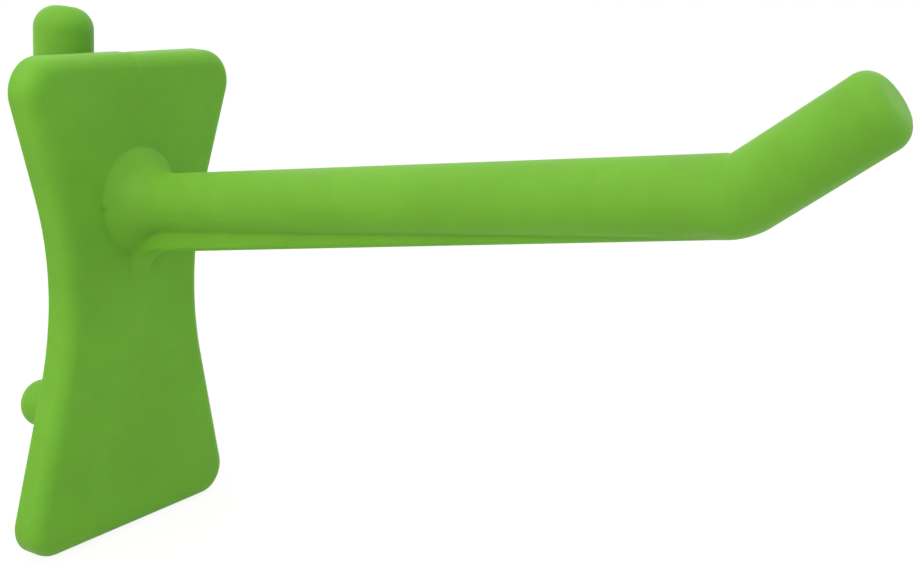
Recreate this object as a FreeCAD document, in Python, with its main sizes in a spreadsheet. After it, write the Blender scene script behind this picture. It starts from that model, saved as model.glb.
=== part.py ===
import FreeCAD, Part
import math
import os
import Sketcher

# A one-piece moulded hook for perforated board. The origin lies in the middle of the plate's back face. The
# arm points along -Y, the pegs along +Y, and Z is up. Lengths are in millimetres and angles in degrees.
SIZES = {
    "plate_height": 48.0,
    "plate_top_width": 27.0,
    "plate_bottom_width": 27.0,
    "plate_thickness": 3.1,
    "waist_width": 17.9,
    "waist_share": 0.518,
    "waist_rise": 0.9,
    "top_corner_radius": 3.2,
    "bottom_corner_radius": 3.0,
    "front_edge_radius": 1.4,
    "back_edge_radius": 0.1,
    "arm_rise": 9.37,
    "arm_tilt": 8.72,
    "arm_length": 62.0,
    "arm_root_diameter": 5.65,
    "arm_end_diameter": 6.62,
    "root_fillet": 3.5,
    "bend_angle": 29.8,
    "bend_radius": 4.2,
    "tip_length": 13.55,
    "tip_root_diameter": 6.35,
    "tip_diameter": 6.3,
    "tip_rim_radius": 1.7,
    "rib_thickness": 2.7,
    "rib_end_depth": 3.2,
    "rib_taper": 1.38,
    "rib_foot_radius": 4.8,
    "rib_foot_sink": 0.15,
    "rib_edge_radius": 0.6,
    "peg_pitch": 25.4,
    "peg_drop": 1.1,
    "peg_diameter": 5.85,
    "peg_rise": 16.2,
    "peg_bend_radius": 3.2,
    "peg_dome_radius": 2.2,
    "board_gap": 4.2,
    "pin_diameter": 5.0,
    "pin_length": 12.2,
    "pin_rim_radius": 1.6,
}
START, END, CENTRE = range(1, 4)
LEVEL_AXIS, UPRIGHT_AXIS = range(-1, -3, -1)
ORIGIN_POINT = (LEVEL_AXIS, START)
FIRST_RUN, TURN, LAST_RUN = range(3)
OUT_OF_SKETCH = FreeCAD.Vector(0, 0, 1)
TOUCH = 1e-4

doc = FreeCAD.newDocument("pegboard_hook")
sheet = doc.addObject("Spreadsheet::Sheet", "sizes")
for row, (alias, value) in enumerate(SIZES.items(), start=1):
    sheet.set(f"A{row}", alias)
    sheet.set(f"B{row}", str(value))
    sheet.setAlias(f"B{row}", alias)
doc.recompute()


def size(alias):
    return float(sheet.get(alias))


def flat(x, y):
    """A point in a sketch."""
    return FreeCAD.Vector(x, y, 0)


def in_side_view(point):
    """The place in the part of a point in a sketch on the upright middle plane."""
    return FreeCAD.Vector(0, point.x, point.y)


def new_body(name):
    body = doc.addObject("PartDesign::Body", name)
    body.Label = name
    return body


def sketch_on(body, role, name):
    plane = next(feature for feature in body.Origin.OriginFeatures if feature.Role == role)
    sketch = body.newObject("Sketcher::SketchObject", name)
    sketch.AttachmentSupport = [(plane, "")]
    sketch.MapMode = "FlatFace"
    return sketch


def hold(sketch, name, expression, *constraint):
    """Adds a dimension to the sketch and ties it to the sheet."""
    index = sketch.addConstraint(Sketcher.Constraint(*constraint))
    sketch.renameConstraint(index, name)
    sketch.setExpression(f"Constraints.{name}", expression)


def arc(centre, first, last):
    """The shorter arc round a centre from one point to another."""
    middle = (first + last) * 0.5 - centre
    bulge = centre + middle.normalize() * (first - centre).Length
    return Part.Arc(first, bulge, last)


def join(sketch, kind, first, second, point):
    """Ties two curves of the sketch at the point where their ends meet, as Tangent or Coincident."""
    ends = []
    for index in (first, second):
        at_start = sketch.getPoint(index, START).distanceToPoint(point) < TOUCH
        ends += [index, START if at_start else END]
    sketch.addConstraint(Sketcher.Constraint(kind, *ends))


def round_edges(body, name, radius, test):
    """Rounds each edge of the body so far that passes the test, by a radius from the sheet."""
    doc.recompute()
    base = body.Tip
    edges = [f"Edge{n}" for n, edge in enumerate(base.Shape.Edges, start=1) if test(edge)]
    fillet = body.newObject("PartDesign::Fillet", name)
    fillet.Base = (base, edges)
    fillet.setExpression("Radius", f"sizes.{radius}")
    doc.recompute()


def lies_at(edge, depth):
    """True for an edge that lies wholly at this place along Y."""
    return abs(edge.BoundBox.YMin - depth) < TOUCH and abs(edge.BoundBox.YMax - depth) < TOUCH


def is_rim(edge, centre):
    """True for a round edge about this centre."""
    return edge.Closed and edge.CenterOfMass.distanceToPoint(centre) < TOUCH


def edge_of(curve):
    """The name of the path's edge that comes from this curve of its sketch."""
    return f"Edge{curve + 1}"


def section_on(body, name, path, curve, parameter, diameter):
    """A round section square to the path, at the start (0) or the end (1) of one of its curves."""
    section = body.newObject("Sketcher::SketchObject", name)
    section.AttachmentSupport = [(path, edge_of(curve))]
    section.MapMode = "NormalToEdge"
    section.MapPathParameter = parameter
    section.addGeometry(Part.Circle(flat(0, 0), OUT_OF_SKETCH, size(diameter) / 2), False)
    section.addConstraint(Sketcher.Constraint("Coincident", 0, CENTRE, *ORIGIN_POINT))
    hold(section, "across", f"sizes.{diameter}", "Diameter", 0, size(diameter))
    return section


hook = new_body("hook")
thickness = size("plate_thickness")
front = -thickness

# The plate has an hourglass outline: straight flanks, a round waist on each side and round corners. The waist
# share sets how much of each side its arc takes up, so the arc follows the plate's height and width.
half_height = size("plate_height") / 2
wider = max(size("plate_top_width"), size("plate_bottom_width"))
waist = size("waist_share") * half_height ** 2 / (wider - size("waist_width"))
WIDER = "max(sizes.plate_top_width; sizes.plate_bottom_width)"
WAIST_RADIUS = f"sizes.waist_share * (sizes.plate_height / 2)^2 / ({WIDER} - sizes.waist_width)"
waist_centre = flat(size("waist_width") / 2 + waist, size("waist_rise"))


def flank(width, corner, side):
    """Corner centre and the ends of the flank above (side 1) or below (side -1) the waist."""
    centre = flat(width / 2 - corner, side * (half_height - corner))
    across = waist_centre - centre
    turn = math.atan2(across.y, across.x) + side * math.acos((corner + waist) / across.Length)
    outward = flat(math.cos(turn), math.sin(turn))
    return centre, centre + outward * corner, waist_centre - outward * waist


top_centre, top_corner, top_waist = flank(size("plate_top_width"), size("top_corner_radius"), 1)
low_centre, low_corner, low_waist = flank(size("plate_bottom_width"), size("bottom_corner_radius"), -1)
top_end = flat(top_centre.x, half_height)
low_end = flat(low_centre.x, -half_height)
outline = sketch_on(hook, "XZ_Plane", "plate_outline")
TOP_CORNER, WAIST, LOW_CORNER = range(0, 5, 2)
SIDE_CURVES = 5
TOP_EDGE, LOW_EDGE = 2 * SIDE_CURVES, 2 * SIDE_CURVES + 1


def add_side(first, mirror):
    """One side of the outline, from the top edge to the bottom edge, as curves from this number on."""
    def place(point):
        return flat(mirror * point.x, point.y)
    outline.addGeometry([
        arc(place(top_centre), place(top_end), place(top_corner)),
        Part.LineSegment(place(top_corner), place(top_waist)),
        arc(place(waist_centre), place(top_waist), place(low_waist)),
        Part.LineSegment(place(low_waist), place(low_corner)),
        arc(place(low_centre), place(low_corner), place(low_end)),
    ], False)
    for step, point in enumerate((top_corner, top_waist, low_waist, low_corner)):
        join(outline, "Tangent", first + step, first + step + 1, place(point))


add_side(0, 1)
add_side(SIDE_CURVES, -1)
for edge, corner_end, corner in ((TOP_EDGE, top_end, TOP_CORNER), (LOW_EDGE, low_end, LOW_CORNER)):
    other_end = flat(-corner_end.x, corner_end.y)
    outline.addGeometry(Part.LineSegment(other_end, corner_end), False)
    join(outline, "Tangent", edge, corner, corner_end)
    join(outline, "Tangent", edge, corner + SIDE_CURVES, other_end)
for curve in (TOP_CORNER, WAIST, LOW_CORNER):
    twin = curve + SIDE_CURVES
    outline.addConstraint(Sketcher.Constraint("Symmetric", curve, CENTRE, twin, CENTRE, UPRIGHT_AXIS))
    outline.addConstraint(Sketcher.Constraint("Equal", curve, twin))
hold(outline, "top_corner", "sizes.top_corner_radius", "Radius", TOP_CORNER, size("top_corner_radius"))
hold(outline, "bottom_corner", "sizes.bottom_corner_radius",
     "Radius", LOW_CORNER, size("bottom_corner_radius"))
hold(outline, "waist", WAIST_RADIUS, "Radius", WAIST, waist)
hold(outline, "top_width", "sizes.plate_top_width - 2 * sizes.top_corner_radius",
     "DistanceX", TOP_CORNER + SIDE_CURVES, CENTRE, TOP_CORNER, CENTRE, 2 * top_centre.x)
hold(outline, "bottom_width", "sizes.plate_bottom_width - 2 * sizes.bottom_corner_radius",
     "DistanceX", LOW_CORNER + SIDE_CURVES, CENTRE, LOW_CORNER, CENTRE, 2 * low_centre.x)
hold(outline, "waist_width", f"sizes.waist_width + 2 * {WAIST_RADIUS}",
     "DistanceX", WAIST + SIDE_CURVES, CENTRE, WAIST, CENTRE, 2 * waist_centre.x)
hold(outline, "top", "sizes.plate_height / 2 - sizes.top_corner_radius",
     "DistanceY", *ORIGIN_POINT, TOP_CORNER, CENTRE, top_centre.y)
hold(outline, "bottom", "sizes.plate_height / 2 - sizes.bottom_corner_radius",
     "DistanceY", LOW_CORNER, CENTRE, *ORIGIN_POINT, -low_centre.y)
hold(outline, "waist_rise", "sizes.waist_rise",
     "DistanceY", *ORIGIN_POINT, WAIST, CENTRE, waist_centre.y)

plate = hook.newObject("PartDesign::Pad", "plate")
plate.Profile = outline
plate.setExpression("Length", "sizes.plate_thickness")
round_edges(hook, "front_rim", "front_edge_radius", lambda edge: lies_at(edge, front))
round_edges(hook, "back_rim", "back_edge_radius", lambda edge: lies_at(edge, 0))

# The arm is a round bar that climbs from the plate, swells along its length and turns up at the tip.
tilt = math.radians(size("arm_tilt"))
climb = tilt + math.radians(size("bend_angle"))
along_arm = flat(-math.cos(tilt), math.sin(tilt))
above_arm = flat(math.sin(tilt), math.cos(tilt))
along_tip = flat(-math.cos(climb), math.sin(climb))
bend_reach = size("bend_radius") * math.tan((climb - tilt) / 2)
arm_run = size("arm_length") + thickness / 2 / math.cos(tilt) - bend_reach
tip_run = size("tip_length") - bend_reach
arm_start = flat(-thickness / 2, size("arm_rise"))
arm_end = arm_start + along_arm * arm_run
tip_start = arm_end + (along_arm + along_tip) * bend_reach
tip_end = tip_start + along_tip * tip_run
BEND_REACH = "sizes.bend_radius * tan(sizes.bend_angle / 2 * 1 deg)"
ARM_RUN = f"sizes.arm_length + sizes.plate_thickness / 2 / cos(sizes.arm_tilt * 1 deg) - {BEND_REACH}"


def hold_arm_line(sketch, line):
    """Ties a line of the sketch to the straight run of the arm, from inside the plate to the bend."""
    hold(sketch, "sink", "sizes.plate_thickness / 2", "DistanceX", line, START, *ORIGIN_POINT, -arm_start.x)
    hold(sketch, "rise", "sizes.arm_rise", "DistanceY", *ORIGIN_POINT, line, START, arm_start.y)
    hold(sketch, "tilt", "180 deg - sizes.arm_tilt * 1 deg", "Angle", line, math.pi - tilt)
    hold(sketch, "run", ARM_RUN, "Distance", line, arm_run)


arm_path = sketch_on(hook, "YZ_Plane", "arm_path")
arm_path.addGeometry([
    Part.LineSegment(arm_start, arm_end),
    arc(arm_end + above_arm * size("bend_radius"), arm_end, tip_start),
    Part.LineSegment(tip_start, tip_end),
], False)
join(arm_path, "Tangent", FIRST_RUN, TURN, arm_end)
join(arm_path, "Tangent", TURN, LAST_RUN, tip_start)
hold_arm_line(arm_path, FIRST_RUN)
hold(arm_path, "climb", "180 deg - (sizes.arm_tilt + sizes.bend_angle) * 1 deg",
     "Angle", LAST_RUN, math.pi - climb)
hold(arm_path, "bend", "sizes.bend_radius", "Radius", TURN, size("bend_radius"))
hold(arm_path, "tip", f"sizes.tip_length - {BEND_REACH}", "Distance", LAST_RUN, tip_run)
doc.recompute()

arm_end_section = section_on(hook, "arm_end_section", arm_path, FIRST_RUN, 1, "arm_end_diameter")
tip_root_section = section_on(hook, "tip_root_section", arm_path, LAST_RUN, 0, "tip_root_diameter")
arm = hook.newObject("PartDesign::AdditiveLoft", "arm")
arm.Profile = section_on(hook, "arm_root_section", arm_path, FIRST_RUN, 0, "arm_root_diameter")
arm.Sections = [(arm_end_section, [""])]
arm.Ruled = True
bend = hook.newObject("PartDesign::AdditivePipe", "bend")
bend.Profile = arm_end_section
bend.Sections = [(tip_root_section, [""])]
bend.Transformation = "Multisection"
bend.Spine = (arm_path, [edge_of(TURN)])
tip = hook.newObject("PartDesign::AdditiveLoft", "tip")
tip.Profile = tip_root_section
tip.Sections = [(section_on(hook, "tip_end_section", arm_path, LAST_RUN, 1, "tip_diameter"), [""])]
tip.Ruled = True
doc.recompute()
root_centre = in_side_view(arm_start + along_arm * (thickness / 2 / math.cos(tilt)))


def meets_plate(edge):
    """True for the edge where the arm leaves the front of the plate."""
    middle = edge.BoundBox.Center
    return lies_at(edge, front) and middle.distanceToPoint(root_centre) < size("arm_root_diameter") / 2


round_edges(hook, "tip_rim", "tip_rim_radius", lambda edge: is_rim(edge, in_side_view(tip_end)))
round_edges(hook, "root_flare", "root_fillet", meets_plate)

# The upper peg goes through the board and turns up behind it.
peg_level = size("peg_pitch") / 2 - size("peg_drop")
peg_bend = size("peg_bend_radius")
peg_reach = size("board_gap") + size("peg_diameter") / 2
peg_start = flat(-thickness / 2, peg_level)
peg_turn = flat(peg_reach - peg_bend, peg_level)
peg_upright = flat(peg_reach, peg_level + peg_bend)
peg_top = flat(peg_reach, peg_level + size("peg_rise"))
peg_path = sketch_on(hook, "YZ_Plane", "peg_path")
peg_path.addGeometry([
    Part.LineSegment(peg_start, peg_turn),
    arc(flat(peg_turn.x, peg_upright.y), peg_turn, peg_upright),
    Part.LineSegment(peg_upright, peg_top),
], False)
join(peg_path, "Tangent", FIRST_RUN, TURN, peg_turn)
join(peg_path, "Tangent", TURN, LAST_RUN, peg_upright)
peg_path.addConstraint(Sketcher.Constraint("Horizontal", FIRST_RUN))
peg_path.addConstraint(Sketcher.Constraint("Vertical", LAST_RUN))
hold(peg_path, "sink", "sizes.plate_thickness / 2",
     "DistanceX", FIRST_RUN, START, *ORIGIN_POINT, -peg_start.x)
hold(peg_path, "level", "sizes.peg_pitch / 2 - sizes.peg_drop",
     "DistanceY", *ORIGIN_POINT, FIRST_RUN, START, peg_level)
hold(peg_path, "reach", "sizes.board_gap + sizes.peg_diameter / 2",
     "DistanceX", *ORIGIN_POINT, LAST_RUN, END, peg_reach)
hold(peg_path, "rise", "sizes.peg_rise",
     "DistanceY", FIRST_RUN, START, LAST_RUN, END, size("peg_rise"))
hold(peg_path, "bend", "sizes.peg_bend_radius", "Radius", TURN, peg_bend)
doc.recompute()

peg = hook.newObject("PartDesign::AdditivePipe", "upper_peg")
peg.Profile = section_on(hook, "peg_section", peg_path, FIRST_RUN, 0, "peg_diameter")
peg.Spine = (peg_path, [edge_of(FIRST_RUN), edge_of(TURN), edge_of(LAST_RUN)])
round_edges(hook, "peg_dome", "peg_dome_radius", lambda edge: is_rim(edge, in_side_view(peg_top)))

# The lower pin keeps the hook from swinging.
pin_outline = sketch_on(hook, "XZ_Plane", "pin_outline")
pin_level = peg_level - size("peg_pitch")
pin_circle = Part.Circle(flat(0, pin_level), OUT_OF_SKETCH, size("pin_diameter") / 2)
pin_outline.addGeometry(pin_circle, False)
pin_outline.addConstraint(Sketcher.Constraint("PointOnObject", 0, CENTRE, UPRIGHT_AXIS))
hold(pin_outline, "level", "sizes.peg_pitch / 2 + sizes.peg_drop",
     "DistanceY", 0, CENTRE, *ORIGIN_POINT, -pin_level)
hold(pin_outline, "across", "sizes.pin_diameter", "Diameter", 0, size("pin_diameter"))
pin = hook.newObject("PartDesign::Pad", "lower_pin")
pin.Profile = pin_outline
pin.Reversed = True
pin.setExpression("Length", "sizes.pin_length")
round_edges(hook, "pin_rim", "pin_rim_radius", lambda edge: lies_at(edge, size("pin_length")))

# The rib stiffens the arm from below. It is deepest at the plate, where its foot curves down, and runs out
# into the underside of the arm at the bend.
rib_body = new_body("rib")
rib_climb = tilt + math.radians(size("rib_taper"))
foot = size("rib_foot_radius")
rib_end = arm_end - above_arm * size("rib_end_depth")
along_rib = flat(-math.cos(rib_climb), math.sin(rib_climb))
below_rib = flat(-math.sin(rib_climb), -math.cos(rib_climb))
foot_face = front + size("rib_foot_sink")
rib_start = rib_end + along_rib * ((foot_face - foot - below_rib.x * foot - rib_end.x) / along_rib.x)
foot_centre = rib_start + below_rib * foot
foot_end = flat(foot_face, foot_centre.y)
foot_back = flat(arm_start.x, foot_centre.y)
ARM_LINE, BACK_LINE, FOOT_LINE, FOOT_ARC, RIB_LINE, END_LINE = range(6)
rib_side = sketch_on(rib_body, "YZ_Plane", "rib_side")
rib_side.addGeometry([
    Part.LineSegment(arm_start, arm_end),
    Part.LineSegment(arm_start, foot_back),
    Part.LineSegment(foot_back, foot_end),
    arc(foot_centre, foot_end, rib_start),
    Part.LineSegment(rib_start, rib_end),
    Part.LineSegment(rib_end, arm_end),
], False)
join(rib_side, "Coincident", ARM_LINE, BACK_LINE, arm_start)
join(rib_side, "Coincident", BACK_LINE, FOOT_LINE, foot_back)
join(rib_side, "Coincident", FOOT_LINE, FOOT_ARC, foot_end)
join(rib_side, "Tangent", FOOT_ARC, RIB_LINE, rib_start)
join(rib_side, "Coincident", RIB_LINE, END_LINE, rib_end)
join(rib_side, "Coincident", END_LINE, ARM_LINE, arm_end)
rib_side.addConstraint(Sketcher.Constraint("Vertical", BACK_LINE))
rib_side.addConstraint(Sketcher.Constraint("Horizontal", FOOT_LINE))
rib_side.addConstraint(Sketcher.Constraint("Horizontal", FOOT_ARC, CENTRE, FOOT_LINE, END))
rib_side.addConstraint(Sketcher.Constraint("Perpendicular", END_LINE, ARM_LINE))
hold_arm_line(rib_side, ARM_LINE)
hold(rib_side, "foot", "sizes.rib_foot_radius", "Radius", FOOT_ARC, foot)
hold(rib_side, "foot_face", "sizes.plate_thickness - sizes.rib_foot_sink",
     "DistanceX", FOOT_LINE, END, *ORIGIN_POINT, -foot_face)
hold(rib_side, "end_depth", "sizes.rib_end_depth", "Distance", END_LINE, size("rib_end_depth"))
hold(rib_side, "taper", "180 deg - (sizes.arm_tilt + sizes.rib_taper) * 1 deg",
     "Angle", RIB_LINE, math.pi - rib_climb)
rib = rib_body.newObject("PartDesign::Pad", "rib_pad")
rib.Profile = rib_side
rib.setExpression("Length", "sizes.rib_thickness")
rib.Midplane = True


def is_rib_edge(edge):
    """True for the lower edges of the rib: its long straight edges and the arcs of its foot."""
    middle = edge.valueAt((edge.FirstParameter + edge.LastParameter) / 2)
    arm_level = arm_start + along_arm * ((middle.y - arm_start.x) / along_arm.x)
    off_centre = abs(middle.x) > size("rib_thickness") / 4
    return off_centre and middle.y < foot_face and middle.z < arm_level.y - size("rib_end_depth") / 2


round_edges(rib_body, "rib_rounding", "rib_edge_radius", is_rib_edge)
joined = hook.newObject("PartDesign::Boolean", "rib_joined")
joined.setObjects([rib_body])
joined.Type = "Fuse"
doc.recompute()

for item in doc.Objects:
    if "Invalid" in item.State or "Error" in item.State:
        raise RuntimeError(f"{item.Name} failed: {item.State}")
shape = hook.Shape
if shape.isNull() or not shape.isValid() or len(shape.Solids) != 1:
    raise RuntimeError("the hook is not one valid solid")
os.makedirs("parts", exist_ok=True)
shape.exportStep(os.path.join("parts", f"{hook.Label}.step"))
print("hook", round(shape.Volume), "cubic millimetres")
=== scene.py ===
import math

import bpy
from mathutils import Matrix, Vector


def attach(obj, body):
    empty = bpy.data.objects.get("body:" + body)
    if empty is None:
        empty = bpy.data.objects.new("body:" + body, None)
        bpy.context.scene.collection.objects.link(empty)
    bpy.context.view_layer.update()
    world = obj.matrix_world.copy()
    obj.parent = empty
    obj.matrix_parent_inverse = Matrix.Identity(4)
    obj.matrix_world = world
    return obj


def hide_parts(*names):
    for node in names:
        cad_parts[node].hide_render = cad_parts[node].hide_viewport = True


# %% [markdown]
# This lesson dresses a one-piece moulded hook for perforated board. The solid comes from the packed
# part, in metres, with the plate's back face at Y = 0, the arm towards -Y and Z up. We load it first.
# Loading leaves the solid selected, so we deselect it too.

# %% Load the solid
MM = 0.001
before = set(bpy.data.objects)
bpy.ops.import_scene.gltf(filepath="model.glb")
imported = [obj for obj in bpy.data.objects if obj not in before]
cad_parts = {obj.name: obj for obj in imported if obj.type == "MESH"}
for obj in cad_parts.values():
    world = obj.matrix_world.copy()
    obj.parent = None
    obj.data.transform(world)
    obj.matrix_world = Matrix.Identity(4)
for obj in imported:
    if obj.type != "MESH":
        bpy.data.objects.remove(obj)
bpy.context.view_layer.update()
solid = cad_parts["hook"]
bpy.ops.object.select_all(action="DESELECT")

# %% [markdown]
# The dressed hook is a copy of the solid that carries a few small forms of its own. The copy is loose
# triangles at first, so its doubles are merged before anything else. Its stored normals are cleared,
# because they won't fit once it is cut.

# %% Copy the solid and weld the copy
WELD = 0.001 * MM
skin = bpy.data.objects.new("hook_moulding", solid.data.copy())
bpy.context.scene.collection.objects.link(skin)
bpy.context.view_layer.objects.active = skin
skin.select_set(True)
bpy.ops.object.mode_set(mode="EDIT")
bpy.ops.mesh.select_all(action="SELECT")
bpy.ops.mesh.remove_doubles(threshold=WELD)
bpy.ops.object.mode_set(mode="OBJECT")
bpy.ops.mesh.customdata_custom_splitnormals_clear()
print("welded copy:", len(skin.data.vertices), "points")

# %% [markdown]
# In the photo the flare at the arm's root ends on the plate in a clear round line, while the solid's
# flare runs out to nothing. So a slightly fuller flare is drawn out of a circle, ring by ring along the
# arm. Each ring is as wide as an arc that dips below the plate, which gives the clear line.

# %% Draw a fuller flare
PLATE_FRONT = -3.1 * MM
ARM_FOOT = Vector((0, PLATE_FRONT, 9.608 * MM))
ARM_CLIMB = math.tan(math.radians(8.72))
ARM_RADIUS, FLARE_ARC, FLARE_DIP = 2.83 * MM, 6.0 * MM, 1.2 * MM
FLARE_SIDES = 96
FLARE_RISES = (0.0, 0.3, 0.7, 1.2, 1.8, 2.5, 3.3, 4.1, 4.9)


def flare_radius(rise):
    """How wide the flare is at a height above the plate."""
    return ARM_RADIUS + FLARE_ARC - math.sqrt(FLARE_ARC ** 2 - (FLARE_ARC - FLARE_DIP - rise) ** 2)


bpy.ops.object.select_all(action="DESELECT")
centre, radius = ARM_FOOT + Vector((0, FLARE_DIP, 0)), flare_radius(0)
bpy.ops.mesh.primitive_circle_add(vertices=FLARE_SIDES, radius=radius, fill_type="NGON",
                                  location=centre, rotation=(math.pi / 2, 0, 0))
flare = bpy.context.active_object
bpy.ops.object.transform_apply(location=True, rotation=True, scale=True)
bpy.ops.object.mode_set(mode="EDIT")
bpy.ops.mesh.select_all(action="SELECT")
for rise in FLARE_RISES:
    ahead = ARM_FOOT + Vector((0, -rise, rise * ARM_CLIMB)) * MM
    bpy.ops.mesh.extrude_region_move(TRANSFORM_OT_translate={"value": ahead - centre})
    share = flare_radius(rise * MM) / radius
    bpy.ops.transform.resize(value=(share, share, share), center_override=ahead)
    centre, radius = ahead, flare_radius(rise * MM)
bpy.ops.mesh.select_all(action="SELECT")
bpy.ops.mesh.normals_make_consistent(inside=False)
bpy.ops.object.mode_set(mode="OBJECT")
print("flare drawn:", len(flare.data.polygons), "faces")

# %% [markdown]
# A Boolean modifier joins the flare to the copy. A skin that is closed all round has no open edges, so
# those are counted afterwards.

# %% Join the flare to the copy
bpy.ops.object.select_all(action="DESELECT")
bpy.context.view_layer.objects.active = skin
skin.select_set(True)
union = skin.modifiers.new("flare", "BOOLEAN")
union.operation, union.solver, union.object = "UNION", "EXACT", flare
bpy.ops.object.modifier_apply(modifier=union.name)
bpy.data.objects.remove(flare)
bpy.ops.object.mode_set(mode="EDIT")
bpy.ops.mesh.select_all(action="DESELECT")
bpy.ops.mesh.select_non_manifold()
bpy.ops.object.mode_set(mode="OBJECT")
open_edges = sum(edge.select for edge in skin.data.edges)
print("flare joined:", len(skin.data.polygons), "faces,", open_edges, "open edges")

# %% [markdown]
# What is left of the solid's own flare outside the clear line is a few tenths of a millimetre high. Its
# points are pressed flat onto the plate, all but those at the foot of the rib.

# %% Press the rest of the old flare flat
SLACK = 0.01 * MM
TOE_HEIGHT, TOE_REACH, RIB_ZONE = 0.36 * MM, 7.2 * MM, 1.5 * MM
for point in skin.data.vertices:
    off = point.co - ARM_FOOT
    toe = -TOE_HEIGHT < off.y < SLACK and math.hypot(off.x, off.z) < TOE_REACH
    point.select = toe and (off.z > 0 or abs(off.x) > RIB_ZONE)
bpy.ops.object.mode_set(mode="EDIT")
bpy.ops.transform.resize(value=(1, 0, 1), center_override=ARM_FOOT)
bpy.ops.object.mode_set(mode="OBJECT")
print("pressed flat:", sum(point.select for point in skin.data.vertices), "points")

# %% [markdown]
# The two halves of the mould meet in the middle plane, X = 0. In the photo the left half of the plate's
# top edge stands a little higher than the right half, as if the mould did not close quite true. Two cuts
# side by side put two lines of points round the whole hook, one in that plane and one just to the left of
# it. Everything on the upper plate and its peg from the second line leftwards is then lifted, and the
# narrow band between the lines becomes the slope of the step. The arm and the plate's lower half keep
# their place.

# %% Step along the parting plane
BAND = 0.14 * MM
STEP = (0, -0.02 * MM, 0.11 * MM)
bpy.ops.object.mode_set(mode="EDIT")
for across in (0, -BAND):
    bpy.ops.mesh.select_all(action="SELECT")
    bpy.ops.mesh.bisect(plane_co=(across, 0, 0), plane_no=(1, 0, 0))
bpy.ops.mesh.select_all(action="DESELECT")
bpy.ops.object.mode_set(mode="OBJECT")
for point in skin.data.vertices:
    upper = point.co.y > PLATE_FRONT - SLACK and point.co.z > 0
    point.select = upper and point.co.x < SLACK - BAND
bpy.ops.object.mode_set(mode="EDIT")
bpy.ops.transform.translate(value=STEP)
bpy.ops.object.mode_set(mode="OBJECT")
print("lifted:", sum(point.select for point in skin.data.vertices), "points")

# %% [markdown]
# On the real hook the rib and its foot run into the plate and the flare in one soft sweep, where the
# solid has a crisp inner corner. A grid of cuts gives that corner enough points to move. The points
# beside the rib are then smoothed, while the rib's own lower edge stays where it is, so that its ridge
# remains.

# %% Soften the foot of the rib
CELL = 0.5 * MM
SOFT_LOW = Vector((-2.75, -9.0, -1.0)) * MM
SOFT_HIGH = Vector((2.75, -3.0, 7.0)) * MM
RIDGE = 0.95 * MM
SMOOTH_SHARE, SMOOTH_ROUNDS = 0.5, 6
bpy.ops.object.mode_set(mode="EDIT")
for axis in range(3):
    normal = [float(axis == other) for other in range(3)]
    for count in range(math.floor((SOFT_HIGH[axis] - SOFT_LOW[axis]) / CELL) + 1):
        spot = [(SOFT_LOW[axis] + count * CELL) * share for share in normal]
        bpy.ops.mesh.select_all(action="SELECT")
        bpy.ops.mesh.bisect(plane_co=spot, plane_no=normal)
bpy.ops.mesh.select_all(action="DESELECT")
bpy.ops.object.mode_set(mode="OBJECT")
for point in skin.data.vertices:
    inside = all(low < value < high for low, value, high in zip(SOFT_LOW, point.co, SOFT_HIGH))
    point.select = inside and abs(point.co.x) > RIDGE
bpy.ops.object.mode_set(mode="EDIT")
bpy.ops.mesh.vertices_smooth(factor=SMOOTH_SHARE, repeat=SMOOTH_ROUNDS)
bpy.ops.object.mode_set(mode="OBJECT")
softened = sum(point.select for point in skin.data.vertices)
print("softened:", softened, "of", len(skin.data.vertices), "points")

# %% [markdown]
# Round faces are shaded smooth, and edges that turn by more than thirty degrees stay crisp, such as the
# line round the flare and the plate's back edge.

# %% Shade the copy
CRISP_ANGLE = math.radians(30)
bpy.ops.object.shade_smooth_by_angle(angle=CRISP_ANGLE)
skin.select_set(False)
print("shaded:", skin.name)

# %% [markdown]
# The skin now stands for the solid, which stays behind for collision. It rides on the only body there
# is.

# %% Hand the skin over
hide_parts("hook")
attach(skin, "root")
print("handed over:", skin.name, len(skin.data.polygons), "faces")

# %% [markdown]
# Four small helpers keep the node trees short to write. One places a node, one makes a noise texture,
# one maps a value from one range to another, and one joins two values in a Math node.

# %% Helpers for node trees


def new_node(tree, kind, place, **settings):
    """A node of a kind at a place in a tree, with some of its settings."""
    node = tree.nodes.new(kind)
    node.location = place
    for name, value in settings.items():
        setattr(node, name, value)
    return node


def noise(tree, place, coordinates, scale, detail):
    """A noise texture of so many cells per metre."""
    node = new_node(tree, "ShaderNodeTexNoise", place)
    node.inputs["Scale"].default_value = scale
    node.inputs["Detail"].default_value = detail
    tree.links.new(coordinates, node.inputs["Vector"])
    return node.outputs["Fac"]


def spread(tree, place, value, low, high, source=(0.3, 0.7)):
    """Maps a value from the source range to a range from low to high."""
    node = new_node(tree, "ShaderNodeMapRange", place)
    node.inputs["From Min"].default_value, node.inputs["From Max"].default_value = source
    node.inputs["To Min"].default_value = low
    node.inputs["To Max"].default_value = high
    tree.links.new(value, node.inputs["Value"])
    return node.outputs["Result"]


def combine(tree, place, operation, first, second):
    """Joins two values; the second may be a plain number."""
    node = new_node(tree, "ShaderNodeMath", place, operation=operation)
    tree.links.new(first, node.inputs[0])
    if isinstance(second, float):
        node.inputs[1].default_value = second
    else:
        tree.links.new(second, node.inputs[1])
    return node.outputs["Value"]


print("helpers:", ", ".join(helper.__name__ for helper in (new_node, noise, spread, combine)))

# %% [markdown]
# The hook leaves its mould in one shot of lime green plastic with a satin skin. The colour is nearly
# even: slow clouds come from the pigment, a fine grain comes from the mould wall, and a hair line follows
# the parting plane. All of it is procedural and reads Object coordinates, so it stays put on the part.
# The effects live in one node group that puts out a colour, a roughness and a height.

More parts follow.
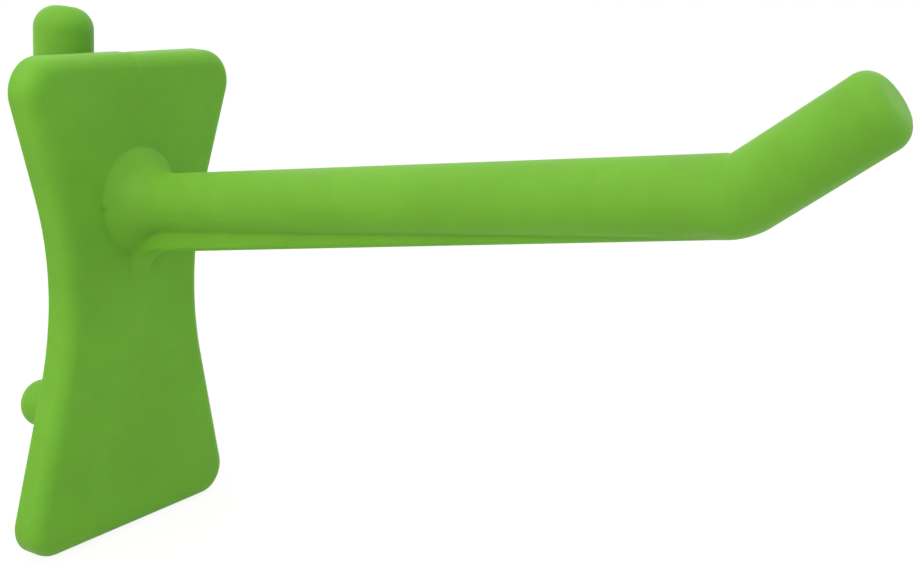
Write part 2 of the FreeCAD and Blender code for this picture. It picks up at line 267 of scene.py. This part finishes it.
# %% Moulded plastic as a node group
CLOUD_CELLS, MOTTLE_CELLS, GRAIN_CELLS = 70.0, 420.0, 2600.0
CLOUD_SHADES, MOTTLE_SHADES, SATIN = (0.95, 1.05), (0.97, 1.03), (0.44, 0.56)
LINE_WIDTH, LINE_PALER, LINE_RELIEF = 0.11 * MM, 0.015, 0.3
group = bpy.data.node_groups.new("moulded_plastic", "ShaderNodeTree")
group.interface.new_socket("Pigment", in_out="INPUT", socket_type="NodeSocketColor")
group.interface.new_socket("Color", in_out="OUTPUT", socket_type="NodeSocketColor")
group.interface.new_socket("Roughness", in_out="OUTPUT", socket_type="NodeSocketFloat")
group.interface.new_socket("Height", in_out="OUTPUT", socket_type="NodeSocketFloat")
entry = new_node(group, "NodeGroupInput", (-1000, 300))
leave = new_node(group, "NodeGroupOutput", (800, 0))
place = new_node(group, "ShaderNodeTexCoord", (-1000, 0)).outputs["Object"]
clouds = noise(group, (-700, 300), place, CLOUD_CELLS, 2.0)
mottle = noise(group, (-700, 100), place, MOTTLE_CELLS, 3.0)
grain = noise(group, (-700, -100), place, GRAIN_CELLS, 2.0)
apart = new_node(group, "ShaderNodeSeparateXYZ", (-700, -300))
group.links.new(place, apart.inputs[0])
off_plane = combine(group, (-500, -300), "ABSOLUTE", apart.outputs["X"], 0.0)
line = spread(group, (-300, -300), off_plane, 1.0, 0.0, source=(0.0, LINE_WIDTH))
depth = combine(group, (-300, 200), "MULTIPLY", spread(group, (-500, 300), clouds, *CLOUD_SHADES),
                spread(group, (-500, 100), mottle, *MOTTLE_SHADES))
paler = spread(group, (-100, -300), line, 0.0, LINE_PALER, source=(0.0, 1.0))
depth = combine(group, (-100, 200), "ADD", depth, paler)
tint = new_node(group, "ShaderNodeVectorMath", (300, 300), operation="SCALE")
group.links.new(entry.outputs["Pigment"], tint.inputs[0])
group.links.new(depth, tint.inputs["Scale"])
group.links.new(tint.outputs["Vector"], leave.inputs["Color"])
group.links.new(spread(group, (300, 0), mottle, *SATIN), leave.inputs["Roughness"])
raised = combine(group, (100, -300), "MULTIPLY", line, LINE_RELIEF)
relief = combine(group, (300, -200), "ADD", grain, raised)
group.links.new(relief, leave.inputs["Height"])
print("node group:", group.name, len(group.nodes), "nodes")

# %% [markdown]
# The material itself is short: the group's colour and roughness go straight to the shader, and its
# height goes through a Bump node. The grain is a few thousandths of a millimetre deep, enough to break up
# the highlight and not enough to be seen as texture from where the camera stands. The plastic is not
# quite opaque: light goes in by less than a millimetre, green the farthest, and comes out again beside
# where it went in. That softens the rims and keeps the shaded sides green. A Bevel node rounds the
# shading of the corners that the copy keeps crisp.

# %% Green plastic
GREEN = (0.186, 0.472, 0.045, 1.0)
SHINE = 0.16
GRAIN_DEPTH = 0.008 * MM
GLOW_SHARE, GLOW_DEPTH, GLOW_REACH = 0.8, 0.7 * MM, (0.45, 1.0, 0.2)
CORNER_ROUNDING, CORNER_SAMPLES = 0.5 * MM, 8
plastic = bpy.data.materials.new("green_plastic")
plastic.use_nodes = True
tree = plastic.node_tree
shader = tree.nodes["Principled BSDF"]
shader.inputs["Specular IOR Level"].default_value = SHINE
shader.inputs["Subsurface Weight"].default_value = GLOW_SHARE
shader.inputs["Subsurface Radius"].default_value = GLOW_REACH
shader.inputs["Subsurface Scale"].default_value = GLOW_DEPTH
mould = new_node(tree, "ShaderNodeGroup", (-500, 200), node_tree=group)
mould.inputs["Pigment"].default_value = GREEN
rounding = new_node(tree, "ShaderNodeBevel", (-500, -250), samples=CORNER_SAMPLES)
rounding.inputs["Radius"].default_value = CORNER_ROUNDING
bump = new_node(tree, "ShaderNodeBump", (-250, -100))
bump.inputs["Distance"].default_value = GRAIN_DEPTH
tree.links.new(rounding.outputs["Normal"], bump.inputs["Normal"])
tree.links.new(mould.outputs["Height"], bump.inputs["Height"])
tree.links.new(mould.outputs["Color"], shader.inputs["Base Color"])
tree.links.new(mould.outputs["Roughness"], shader.inputs["Roughness"])
tree.links.new(bump.outputs["Normal"], shader.inputs["Normal"])
skin.data.materials.clear()
skin.data.materials.append(plastic)
print("material:", plastic.name)

# %% [markdown]
# The photo shows the hook on pure white with no edge to the table, and a thin dark line along the plate's
# lower edge. It looks as if the plate stands on that edge, with little light coming in under its rounded
# rim. So a pale floor lies right under the plate.

# %% Floor
FLOOR_LEVEL = -24.02 * MM
FLOOR_SIZE = 6.0
bpy.ops.mesh.primitive_plane_add(size=FLOOR_SIZE, location=(0, 0, FLOOR_LEVEL))
floor = bpy.context.active_object
floor.name = "floor"
floor.select_set(False)
print("floor:", round(floor.location.z / MM, 1), "mm high")

# %% [markdown]
# The camera sees the floor and the sky behind it as plain white, by way of the Light Path node, so the
# white background takes no extra light. The floor keeps a share of its own shading and so a faint
# shadow.

# %% Material of the floor
FLOOR_GREY = (0.72, 0.72, 0.72, 1)
FLOOR_ROUGHNESS = 0.9
WHITE_LEVEL, WHITE_SHARE = 1.08, 0.85


def seen_plainly(tree, place):
    """One for rays that look at the background, straight or by way of gloss or glass, else nought."""
    path = new_node(tree, "ShaderNodeLightPath", place)
    gloss = combine(tree, (place[0] + 200, place[1]), "MAXIMUM",
                    path.outputs["Is Camera Ray"], path.outputs["Is Glossy Ray"])
    return combine(tree, (place[0] + 400, place[1]), "MAXIMUM",
                   gloss, path.outputs["Is Transmission Ray"])


pale = bpy.data.materials.new("pale_floor")
pale.use_nodes = True
tree = pale.node_tree
matte = tree.nodes["Principled BSDF"]
matte.inputs["Base Color"].default_value = FLOOR_GREY
matte.inputs["Roughness"].default_value = FLOOR_ROUGHNESS
glow = new_node(tree, "ShaderNodeEmission", (0, -300))
glow.inputs["Strength"].default_value = WHITE_LEVEL
mix = new_node(tree, "ShaderNodeMixShader", (300, 0))
share = combine(tree, (100, 300), "MULTIPLY", seen_plainly(tree, (-500, 300)), WHITE_SHARE)
tree.links.new(share, mix.inputs[0])
tree.links.new(matte.outputs[0], mix.inputs[1])
tree.links.new(glow.outputs[0], mix.inputs[2])
tree.links.new(mix.outputs[0], tree.nodes["Material Output"].inputs[0])
floor.data.materials.append(pale)
print("material:", pale.name)

# %% [markdown]
# The world is an even white where the camera looks at it. As a source of light it is dimmer and a trace
# cooler, so that the lamps can shape the hook.

# %% World
AMBIENT = 0.715
COOL, WHITE = (0.88, 1.0, 0.92, 1), (1, 1, 1, 1)
world = bpy.data.worlds.new("studio")
bpy.context.scene.world = world
world.use_nodes = True
tree = world.node_tree
air = tree.nodes["Background"]
plain = seen_plainly(tree, (-900, 0))
level = spread(tree, (-300, 0), plain, AMBIENT, 1.0, source=(0.0, 1.0))
tree.links.new(level, air.inputs["Strength"])
tone = new_node(tree, "ShaderNodeMix", (-300, 300), data_type="RGBA")
tone.inputs["A"].default_value = COOL
tone.inputs["B"].default_value = WHITE
tree.links.new(plain, tone.inputs["Factor"])
tree.links.new(tone.outputs["Result"], air.inputs["Color"])
print("world:", AMBIENT, "of white as a source of light")

# %% [markdown]
# The light is a plain soft studio light: one large box straight above the hook and one above it to the
# left. Their size keeps the shadows soft, and both are a little warmer than the world. Each lamp below is
# a name, a place, a side length, a power and a colour, and all of them face the arm.

# %% Lamps
LAMPS = (
    ("overhead", (0.0, -0.03, 0.75), 0.50, 0.40, (1.0, 0.96, 0.92)),
    ("left", (-0.53, -0.03, 0.53), 0.50, 2.85, (1.0, 0.80, 0.72)),
)
AIM = Vector((0, -0.03, 0))
for name, place, side, watts, color in LAMPS:
    lamp = bpy.data.lights.new(name, "AREA")
    lamp.size = side
    lamp.energy = watts
    lamp.color = color
    holder = bpy.data.objects.new(name, lamp)
    bpy.context.scene.collection.objects.link(holder)
    holder.location = place
    holder.rotation_euler = (AIM - Vector(place)).to_track_quat("-Z", "Y").to_euler()
    print("lamp:", name, watts, "W")

# %% [markdown]
# The camera was solved from the outline of the hook in the photo. It stands to the left of the arm and a
# little above it, tilted by about three degrees.

# %% Camera
AZIMUTH, ELEVATION, ROLL = -58.829, 13.500, 3.248
STAND = (-0.1042, -0.1031, 0.03731)
FOCAL_PIXELS, IMAGE_WIDTH, SENSOR_WIDTH = 1470.46, 919, 36
NEAREST = 10 * MM
camera = bpy.data.cameras.new("camera")
camera.sensor_width = SENSOR_WIDTH
camera.sensor_fit = "HORIZONTAL"
camera.lens = SENSOR_WIDTH * FOCAL_PIXELS / IMAGE_WIDTH
camera.clip_start = NEAREST
tripod = bpy.data.objects.new("camera", camera)
bpy.context.scene.collection.objects.link(tripod)
turn = Matrix.Rotation(math.radians(AZIMUTH), 4, "Z")
turn = turn @ Matrix.Rotation(math.radians(90 - ELEVATION), 4, "X")
turn = turn @ Matrix.Rotation(math.radians(ROLL), 4, "Z")
tripod.matrix_world = Matrix.Translation(STAND) @ turn
bpy.context.scene.camera = tripod
bpy.context.scene.view_settings.view_transform = "Standard"
print("lens:", round(camera.lens, 1), "mm")
